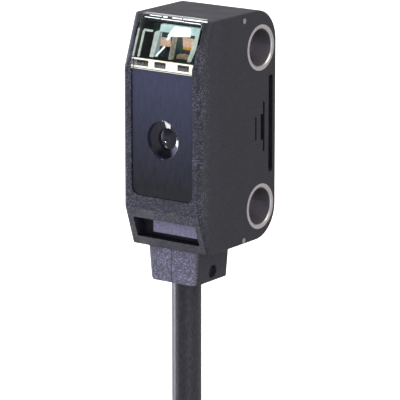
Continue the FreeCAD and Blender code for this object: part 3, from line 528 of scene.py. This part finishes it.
# dark, light, roughness, metallic share, painted glow
catchPlastic = plainMoulding("mouldedGreyPlastic", "#75748c", "#9897b1", 0.4)
holderPlastic = plainMoulding("mouldedMattBlack", "#0a0a0c", "#131316", 0.7)
sealRubber = plainMoulding("mouldedSealRubber", "#101012", "#1a1a1c", 0.75)
chipEpoxy = plainMoulding("mouldedChipEpoxy", "#121214", "#1c1c20", 0.6)
canTinplate = plainMoulding("tinplatedSheet", "#a5a49d", "#c2c1ba", 0.3, 1.0)
crimpBrass = plainMoulding("drawnBrass", "#a8803f", "#c39a55", 0.3, 1.0)
capacitorCeramic = plainMoulding("firedTanCeramic", "#8a6a4a", "#a08060", 0.5)
resistorCeramic = plainMoulding("glazedBlackCeramic", "#0c0c10", "#191920", 0.3)
# painted light: the lamps' ceramic and terminals, the sill and the block glow in their own colours
lampCeramic = plainMoulding("firedPeachCeramic", "#e6b79f", "#fbdcc8", 0.45, glow=0.55)
lampGold = plainMoulding("gildedTerminal", "#d2923a", "#f2bf5e", 0.35, 0.7, 0.3)
navyPlastic = plainMoulding("mouldedNavyPlastic", "#1b1b2c", "#2c2c40", 0.5, glow=0.10)
umberPlastic = plainMoulding("mouldedUmberPlastic", "#7a6250", "#bda084", 0.45, glow=0.30)
tieBand = plainMoulding("extrudedTieNylon", "#101012", "#1c1c1f", 0.5)
tinnedCopper = plainMoulding("tinnedCopperStrand", "#b8b6b0", "#d8d6d0", 0.3, 1.0)
boardMask = solderMask("greenSolderMask")

for node, material in (("case", casePbt), ("case_pins", pinSteel), ("upper_sleeve", sleeveSteel),
                       ("lower_sleeve", sleeveSteel), ("front_panel", smokedAcrylic),
                       ("objective_lens", lensAcrylic), ("lens_gasket", sealRubber),
                       ("optic_holder", holderPlastic), ("indicator_window", windowPc),
                       ("mask_catch", catchPlastic), ("main_board", boardMask), ("receiver_chip", chipEpoxy),
                       ("shield_can", canTinplate), ("signal_chip", chipEpoxy),
                       ("output_transistor", chipEpoxy), ("surge_diode", chipEpoxy),
                       ("capacitors", capacitorCeramic), ("resistors", resistorCeramic),
                       ("inner_lead_brown", brownPvc), ("inner_lead_black", blackPvc),
                       ("inner_lead_blue", bluePvc), ("cable_boot", bootPbt), ("boot_seal", sealRubber),
                       ("crimp_ring", crimpBrass)):
    finishNode(node, material)
print("CAD nodes finished")


# behind the window: a clear guide with frosted ends, its ledge, and two lamps on their pads

def pick(thing, kind, wanted):
    # in edit mode, select the vertices, edges or faces that pass a test
    bpy.ops.mesh.select_mode(type={"verts": "VERT", "edges": "EDGE", "faces": "FACE"}[kind])
    bpy.ops.mesh.select_all(action="DESELECT")
    mesh = bmesh.from_edit_mesh(thing.data)
    for element in getattr(mesh, kind):
        if wanted(element):
            element.select_set(True)
    bmesh.update_edit_mesh(thing.data)


def slab(corners, depth, rounding, name, slope=0.0, pivotZ=0.0):
    # a plate from its front corners (x, z), between two depths, leaning back by the slope, its edges rounded
    deselectAll()
    bpy.ops.mesh.primitive_circle_add(vertices=len(corners), radius=1 * mm, fill_type="NGON")
    plate = bpy.context.object
    plate.name = name
    starts = [vertex.co.copy() for vertex in plate.data.vertices]
    bpy.ops.object.mode_set(mode="EDIT")
    for index, (x, z) in enumerate(corners):
        pick(plate, "verts", lambda vertex: vertex.index == index)
        target = Vector((x, depth[0] + slope * (z - pivotZ), z)) * mm
        bpy.ops.transform.translate(value=target - starts[index])
    bpy.ops.mesh.select_all(action="SELECT")
    bpy.ops.mesh.extrude_region_move(TRANSFORM_OT_translate={"value": (0, (depth[1] - depth[0]) * mm, 0)})
    bpy.ops.mesh.select_all(action="SELECT")
    bpy.ops.mesh.normals_make_consistent(inside=False)
    bpy.ops.mesh.bevel(offset=rounding * mm, segments=3)
    bpy.ops.object.mode_set(mode="OBJECT")
    return plate


def oblong(left, right, foot, top):
    return [(left, foot), (right, foot), (right, top), (left, top)]


guideFacts = {      # lengths here in millimetres
    "slope": 0.39,
    "frontY": -8.1,      # front of the guide at the height below, just behind the window
    "frontZ": 7.0,
    "leaning": {      # plates that lean with the window: how far behind that front, thickness, rounding
        "post": (0.2, 0.3, 0.08),
        "rib": (0.15, 0.45, 0.1),
        "pane": (0.3, 0.2, 0.05),
        "lipHighlight": (-1.04, 0.1, 0.03),
        "bar": (0.1, 0.5, 0.08),
        "shelf": (0.7, 0.3, 0.02),
        "prism": (0.0, 0.25, 0.06),
        "stay": (0.1, 0.12, 0.03),
        "arch": (-0.25, 0.2, 0.05),
        "sill": (0.95, 0.3, 0.06),
        "block": (1.0, 0.3, 0.08),
    },
    "upright": {      # plates of the ledge: front, rear, rounding
        "ledge": (-8.60, -8.1, 0.06),
        "edge": (-8.67, -8.5, 0.03),
        "gap": (-8.68, -8.5, 0.06),
    },
    "outlines": {      # corners (x, z) of each plate
        "post": [
            [(-2.15, 6.95), (-1.75, 6.95), (-1.6, 9.3), (-2.15, 9.1)],
            [(2.0, 6.95), (2.3, 6.95), (3.0, 9.6), (2.35, 9.6)],
        ],
        "rib": [[(-0.05, 6.95), (0.3, 6.95), (0.25, 9.2), (-0.1, 9.2)]],
        "pane": [[(-2.0, 7.0), (-1.35, 7.0), (-1.45, 9.2), (-2.0, 9.2)]],
        "lipHighlight": [      # painted highlights: glowing strips for the light caught where the window laps the brow
            oblong(-2.9, -1.2, 10.52, 10.56), oblong(-1.1, 1.4, 10.50, 10.56), oblong(1.5, 3.25, 10.48, 10.53),
            oblong(-0.9, -0.45, 10.68, 10.79), oblong(0.1, 1.15, 10.70, 10.78), oblong(1.3, 3.9, 10.70, 10.79),
            oblong(-2.4, -1.1, 10.72, 10.77),
        ],
        "bar": [oblong(-1.6, 3.1, 9.2, 9.85)],
        "shelf": [oblong(-2.5, -1.7, 8.16, 8.22)],
        "prism": [[(-0.6, 8.9), (1.85, 9.05), (1.75, 9.8), (0.0, 9.8)]],
        "stay": [
            [(-1.44, 7.15), (-1.32, 7.08), (-0.60, 7.95), (-0.76, 8.03)],
            [(-0.68, 8.6), (-0.48, 8.53), (-0.1, 9.05), (-0.38, 9.12)],
        ],
        "ledge": [oblong(-3.3, 3.3, 6.14, 6.88)],
        "edge": [      # painted highlights: bright edges and blocks of the ledge, made to glow
            oblong(-3.3, 3.3, 6.79, 6.90), oblong(-3.3, 3.3, 6.14, 6.30), oblong(-1.66, -1.05, 6.3, 6.80),
            oblong(0.25, 1.5, 6.3, 6.80), oblong(2.8, 3.3, 6.3, 6.80),
        ],
        "gap": [      # dark notches in the ledge
            oblong(-2.95, -1.75, 6.36, 6.68), oblong(-0.98, 0.18, 6.36, 6.68), oblong(1.58, 2.72, 6.36, 6.68),
        ],
        "arch": [
            oblong(-3.15, -2.98, 6.95, 9.2),
            [(-3.12, 9.15), (-2.1, 9.15), (-2.15, 9.32), (-3.05, 9.34)],
        ],
        "sill": [[(-2.3, 6.95), (-1.0, 6.95), (-1.15, 7.8), (-2.0, 7.75)]],
        "block": [[(0.2, 6.95), (1.6, 6.95), (1.55, 7.32), (1.0, 7.42), (0.25, 7.3)]],
    },
}
guidePieces = (      # piece, the plates in it, material, slot
    ("guidePosts", ("post",), guidePc, "clear_plastic"),
    ("guideRib", ("rib",), ribPc, "clear_plastic"),
    ("guidePane", ("pane",), panePc, "clear_plastic"),
    ("paintedLipHighlights", ("lipHighlight",), prismPc, "clear_plastic"),
    ("guideBar", ("bar", "shelf"), frostedPc, "clear_plastic"),
    ("guidePrism", ("prism", "stay"), prismPc, "clear_plastic"),
    ("guideLedge", ("ledge",), ledgeBodyPc, "clear_plastic"),
    ("paintedLedgeHighlights", ("edge",), ledgeHighlightPc, "clear_plastic"),
    ("guideGaps", ("gap",), holderPlastic, "holder_plastic"),
    ("guideArch", ("arch",), guidePc, "clear_plastic"),
    ("guideSill", ("sill",), navyPlastic, "holder_plastic"),
    ("guideBlock", ("block",), umberPlastic, "holder_plastic"),
)


def guidePlate(kind, corners):
    if kind in guideFacts["upright"]:
        front, rear, rounding = guideFacts["upright"][kind]
        return slab(corners, (front, rear), rounding, kind)
    behind, thick, rounding = guideFacts["leaning"][kind]
    front = guideFacts["frontY"] + behind
    return slab(corners, (front, front + thick), rounding, kind, guideFacts["slope"], guideFacts["frontZ"])


for name, kinds, material, slot in guidePieces:
    plates = [guidePlate(kind, corners) for kind in kinds for corners in guideFacts["outlines"][kind]]
    joinedPiece(plates, name, material)
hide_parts("light_guide")
print("light guide made")

lampFacts = {      # lengths here in millimetres
    "places": {"output": (0.9, 8.3), "stability": (-1.7, 8.1)},      # middle of each lamp (x, z)
    "boardY": -6.0,
    "parts": {      # half width, foot and top from the middle, front and rear from the board, rounding
        "base": (0.58, -0.38, 0.38, -0.22, 0.0, 0.03),
        "dome": (0.42, -0.36, 0.36, -0.48, -0.2, 0.08),
        "pad": (0.58, -0.69, -0.41, -0.14, 0.0, 0.02),
    },
}


def lampPart(which, kind):
    x, z = lampFacts["places"][which]
    half, foot, top, front, rear, rounding = lampFacts["parts"][kind]
    boardY = lampFacts["boardY"]
    return slab(oblong(x - half, x + half, z + foot, z + top), (boardY + front, boardY + rear), rounding, kind)


def lampPiece(which, node, plating):
    body = joinedPiece([lampPart(which, "base")], f"{which}Lamp", lampCeramic)
    joinedPiece([lampPart(which, "dome")], f"{which}LampLens", lampEpoxy)
    joinedPiece([lampPart(which, "pad")], f"{which}LampPads", plating)
    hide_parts(node)


lampPiece("output", "output_lamp", lampGold)
lampPiece("stability", "stability_lamp", holderPlastic)
print("lamps made")


# cable: straight down out of the boot, then into a hanging round coil, with its bare end beside the coil

cableFacts = {
    "diameter": 2.7 * mm,
    "length": 2.0,
    "exit": (0, -5.4 * mm, -13.6 * mm),
    "coilCentre": (-5.4 * mm, -57.0 * mm),
    "fromAngle": 30,      # where the first turn starts and the last one ends, in degrees from the top
    "toAngle": 90,
    "pointEvery": 22.5,      # degrees between the points of a turn
    "moveShare": 0.28,      # the last share of a turn moves over to the next one's place
    "leadIn": 1.5,      # radians in which the lead moves over from the middle
    "wander": 0.10 * mm,
    "seed": 7,
}
cableRoute = [      # millimetres
    (0, -5.4, -11.0),
    (0, -5.4, -24.3),
    (0, -5.4, -28.9),
    (0, -3.65, -33.8),
    (0, -0.27, -37.7),
    (0, 4.25, -40.3),
]
tailRoute = [(1.4, 13.9, -60.7), (1.4, 13.92, -66.0), (1.4, 13.9, -71.0), (1.4, 13.9, -75.0)]
turnRows = [      # radius of each layer of turns, and the places across the coil in winding order
    (19.3, [-1.4, -4.2]), (16.9, [-5.6, -2.8]), (14.5, [-1.4, -4.2]), (12.1, [-5.6, -2.8]),
    (9.7, [-4.2, -1.4, 1.4]), (12.1, [0.0, 2.8, 5.6]), (14.5, [4.2, 1.4]), (16.9, [0.0, 2.8, 5.6]),
    (19.3, [4.2, 1.4]),
]


def coilPoints(facts):
    # The turns of the hanging coil, point by point, from where the lead joins it to where the tail leaves.
    chance = random.Random(facts["seed"])
    slots = [(radius, across) for radius, places in turnRows for across in places]
    drifts = [(chance.uniform(-1, 1), chance.uniform(-1, 1), chance.uniform(0, 6.28)) for _ in slots]
    startAngle = math.radians(facts["fromAngle"])
    endAngle = math.radians(facts["toAngle"]) + len(slots) * 2 * math.pi
    count = round((endAngle - startAngle) / math.radians(facts["pointEvery"]))
    step = (endAngle - startAngle) / count
    points = []
    for index in range(count):
        swept = (index + 0.5) * step
        turn = min(int(swept / (2 * math.pi)), len(slots) - 1)
        share = swept / (2 * math.pi) - turn
        here, after = slots[turn], slots[min(turn + 1, len(slots) - 1)]
        blend = min(max((share - (1 - facts["moveShare"])) / facts["moveShare"], 0), 1)
        blend = blend * blend * (3 - 2 * blend)
        radius = here[0] + (after[0] - here[0]) * blend
        across = here[1] + (after[1] - here[1]) * blend
        if turn == 0:      # the lead comes in at the middle
            across *= min(swept / facts["leadIn"], 1.0)
        drift = drifts[turn]
        loose = facts["wander"] / mm * min(swept, count * step - swept, 1.0)
        radius += loose * drift[0] * math.sin(2 * swept + drift[2])
        across += loose * drift[1] * math.sin(swept + drift[2])
        radius /= math.cos(step / 2)      # the curve runs inside its control points
        angle = startAngle + swept
        points.append((across * mm, facts["coilCentre"][0] + radius * math.sin(angle) * mm,
                       facts["coilCentre"][1] + radius * math.cos(angle) * mm))
    return points


def cordCurve(name, points, diameter, resolution, rings):
    # A round cord on one open NURBS spline.
    line = bpy.data.curves.new(name, "CURVE")
    line.dimensions = "3D"
    spline = line.splines.new("NURBS")
    spline.points.add(len(points) - 1)
    for point, place in zip(spline.points, points):
        point.co = (*place, 1.0)
    spline.order_u = 3
    spline.use_endpoint_u = True
    spline.resolution_u = resolution
    line.bevel_depth = diameter / 2
    line.bevel_resolution = rings
    line.use_fill_caps = True
    cord = bpy.data.objects.new(name, line)
    bpy.context.scene.collection.objects.link(cord)
    return cord


def inMetres(points):
    return [tuple(number * mm for number in point) for point in points]


jacket = cordCurve("cableJacket", inMetres(cableRoute) + coilPoints(cableFacts) + inMetres(tailRoute),
                   cableFacts["diameter"], 4, 7)
dressPiece(jacket, "cableJacket", jacketPvc)
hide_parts("cable", "cable_coil", "cable_tail")

coreFacts = {
    "diameter": 0.74 * mm,
    "length": 31.2 * mm,
    "tailEnd": (1.4, 13.9, -75.0),
    "drops": (0.0, -8.0, -16.0, -24.0, -31.0),
    "sways": {
        "brown": ((-0.55, 0.0), (-0.55, 0.0), (-1.1, 0.6), (-2.0, 0.8), (-3.1, 0.5)),
        "black": ((0.28, -0.48), (0.28, -0.48), (0.5, -1.2), (0.3, -2.3), (0.2, -3.6)),
        "blue": ((0.28, 0.48), (0.28, 0.48), (0.9, 1.0), (1.8, 1.2), (2.4, 1.9)),
    },
    "strands": 7,
    "strandWide": 0.2 * mm,      # a few thick strands stand for the many fine ones, which are too thin to show
    "strandSteps": 8,
    "tipLong": 4.0 * mm,
    "tipShare": 0.99,      # keeps the strands just inside that length
    "twist": 1.2,      # turns of the strands along a tip
}
coreFinishes = {"brown": brownPvc, "black": blackPvc, "blue": bluePvc}


def coreRoute(colour):
    endX, endY, endZ = coreFacts["tailEnd"]
    return [((endX + x) * mm, (endY + y) * mm, (endZ + drop) * mm)
            for (x, y), drop in zip(coreFacts["sways"][colour], coreFacts["drops"])]


def strandTip(colour):
    # The tinned end of a core: one straight strand with the others twisted round it.
    route = [Vector(point) for point in coreRoute(colour)]
    ahead = (route[-1] - route[-2]).normalized()
    turnTo = ahead.to_track_quat("Z", "Y")
    outer = coreFacts["strands"] - 1
    strands = []
    for index in range(coreFacts["strands"]):
        points = []
        for stepIndex in range(coreFacts["strandSteps"] + 1):
            share = stepIndex / coreFacts["strandSteps"]
            angle = index * 2 * math.pi / outer + share * coreFacts["twist"] * 2 * math.pi
            reach = 0 if index == outer else coreFacts["strandWide"]
            local = Vector((reach * math.cos(angle), reach * math.sin(angle),
                            share * coreFacts["tipLong"] * coreFacts["tipShare"]))
            points.append(tuple(route[-1] + turnTo @ local))
        strands.append(cordCurve(f"strand{colour}{index}", points, coreFacts["strandWide"], 3, 2))
    choose(strands)
    bpy.ops.object.convert(target="MESH")
    bpy.ops.object.join()
    return bpy.context.object


tips = []
for colour, finish in coreFinishes.items():
    core = cordCurve(f"core{colour.title()}", coreRoute(colour), coreFacts["diameter"], 8, 5)
    dressPiece(core, f"core{colour.title()}", finish)
    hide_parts(f"core_{colour}")
    tips.append(strandTip(colour))
coreTips = joinedPiece(tips, "coreTips", tinnedCopper, 40)
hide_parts("core_tips")
print("cable and cores laid")


# ties: a nylon band round the bundle of turns, with its lock and a cut tail on the outside

tieFacts = {
    "middleRadius": 14.5 * mm,      # from the coil's axis to the middle of the band
    "halfAcross": 7.35 * mm,
    "halfDeep": 6.55 * mm,
    "bend": 3.2 * mm,
    "bendSteps": 12,
    "bandWide": 2.4 * mm,
    "bandThick": 0.35 * mm,
    "lockSize": (3.4 * mm, 1.5 * mm, 3.2 * mm),
    "lockRounding": 0.3 * mm,
    "tailX": 2.4 * mm,      # middle of the cut tail, from the middle of the lock
    "tailLong": 2.4 * mm,
    "tailThick": 1.2,      # times the band
    "tailRounding": 0.08 * mm,
    "angles": (28.0, 205.0),
}


def roundedBlock(place, size, rounding):
    deselectAll()
    bpy.ops.mesh.primitive_cube_add(size=1.0, location=place)
    block = bpy.context.object
    block.scale = size
    bpy.ops.object.transform_apply(scale=True)
    bpy.ops.object.mode_set(mode="EDIT")
    bpy.ops.mesh.select_all(action="SELECT")
    bpy.ops.mesh.bevel(offset=rounding, segments=3)
    bpy.ops.object.mode_set(mode="OBJECT")
    return block


def nylonTie(angle):
    # one tie, made at the middle and turned into place about the coil's axis
    deselectAll()
    bpy.ops.mesh.primitive_cube_add(size=1.0)
    band = bpy.context.object
    band.scale = (2 * tieFacts["halfAcross"], 2 * tieFacts["halfDeep"], tieFacts["bandWide"])
    bpy.ops.object.transform_apply(scale=True)
    bpy.ops.object.mode_set(mode="EDIT")
    pick(band, "edges", lambda edge: abs(edge.verts[0].co.z - edge.verts[1].co.z) > 1 * mm)
    bpy.ops.mesh.bevel(offset=tieFacts["bend"], segments=tieFacts["bendSteps"])
    pick(band, "faces", lambda face: abs(face.normal.z) > 0.9)
    bpy.ops.mesh.delete(type="FACE")
    bpy.ops.object.mode_set(mode="OBJECT")
    solid = band.modifiers.new("thickness", "SOLIDIFY")
    solid.thickness = tieFacts["bandThick"]
    solid.offset = -1
    bpy.ops.object.modifier_apply(modifier=solid.name)
    lockY = tieFacts["halfDeep"] + tieFacts["lockSize"][1] / 2
    lock = roundedBlock((0, lockY, 0), tieFacts["lockSize"], tieFacts["lockRounding"])
    tailSize = (tieFacts["tailLong"], tieFacts["bandThick"] * tieFacts["tailThick"], tieFacts["bandWide"])
    tail = roundedBlock((tieFacts["tailX"], lockY, 0), tailSize, tieFacts["tailRounding"])
    band = joined([band, lock, tail])
    band.matrix_world = (Matrix.Translation((0, cableFacts["coilCentre"][0], cableFacts["coilCentre"][1]))
                         @ Matrix.Rotation(math.radians(angle), 4, "X")
                         @ Matrix.Translation((0, tieFacts["middleRadius"], 0)))
    bpy.ops.object.transform_apply(location=True, rotation=True, scale=True)
    return band


ties = [nylonTie(angle) for angle in tieFacts["angles"]]
coilTies = joinedPiece(ties, "coilTies", tieBand)
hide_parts("coil_ties")
print("ties made")
